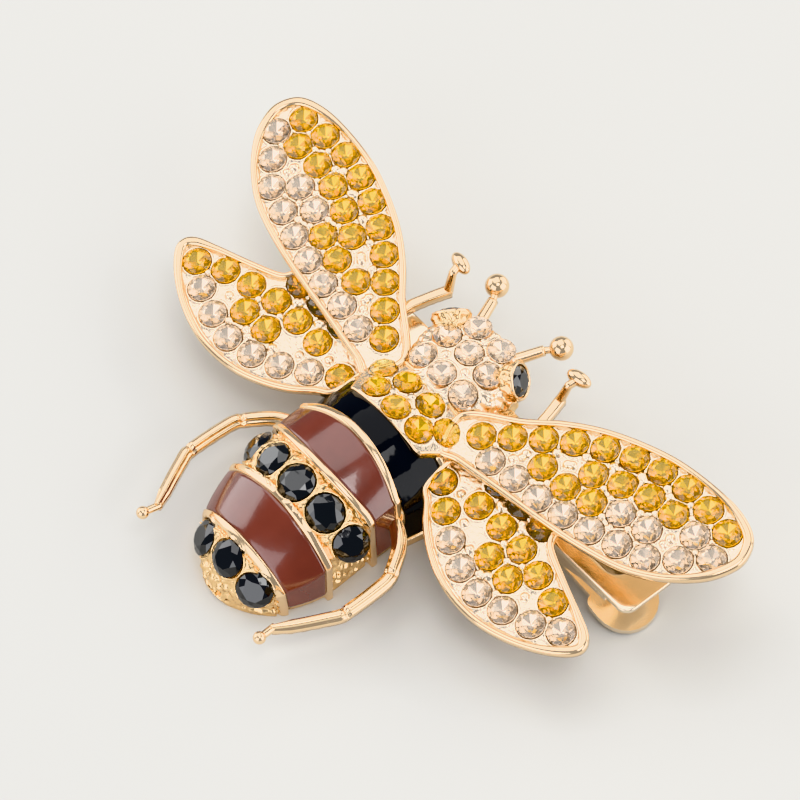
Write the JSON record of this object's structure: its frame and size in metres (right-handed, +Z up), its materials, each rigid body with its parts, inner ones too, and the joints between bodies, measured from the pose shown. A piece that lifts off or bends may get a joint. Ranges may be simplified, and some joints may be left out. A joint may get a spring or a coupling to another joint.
{
  "type": "insect brooch",
  "caption": "Bee brooch with stone-set wings, enamel bands on a hollow body, and a hinged spring clip underneath.",
  "frame": {"origin": "centre of the overall box, at the level of the rim it rests on", "axes": "+X to the bee's right wing tip, +Y to the head, +Z up"},
  "size_m": [0.0714, 0.044, 0.0136],
  "materials": {
    "gold": "polished light gold plating",
    "brown_enamel": "glossy",
    "black_enamel": "glossy",
    "yellow_stone": "cut and foil backed",
    "pale_stone": "cut and foil backed",
    "black_stone": "cut",
    "clip_metal": "plated",
    "spring_steel": "bright"
  },
  "bodies": {
    "brooch": {"gold_casting": "gold", "enamel_band_front": "brown_enamel", "enamel_band_rear": "brown_enamel", "thorax_enamel": "black_enamel", "right_fore_yellow": "yellow_stone", "right_fore_pale": "pale_stone", "right_hind_yellow": "yellow_stone", "right_hind_pale": "pale_stone", "left_fore_yellow": "yellow_stone", "left_fore_pale": "pale_stone", "left_hind_yellow": "yellow_stone", "left_hind_pale": "pale_stone", "collar_stones": "yellow_stone", "head_stones": "pale_stone", "eye_stones": "black_stone", "abdomen_stones": "black_stone", "tail_stones": "black_stone", "hinge_pin": "clip_metal", "spring": "spring_steel"},
    "lever": {"clip_lever": "clip_metal"}
  },
  "joints": [
    {"name": "clip_hinge", "type": "hinge", "parent": "brooch", "child": "lever", "pos_m": [0.0165, 0.01035, 0.0046], "axis": [0, -1, 0], "range_deg": [0, 18], "stiffness_Nm_per_rad": 0.05, "springref_deg": -34.38}
  ]
}
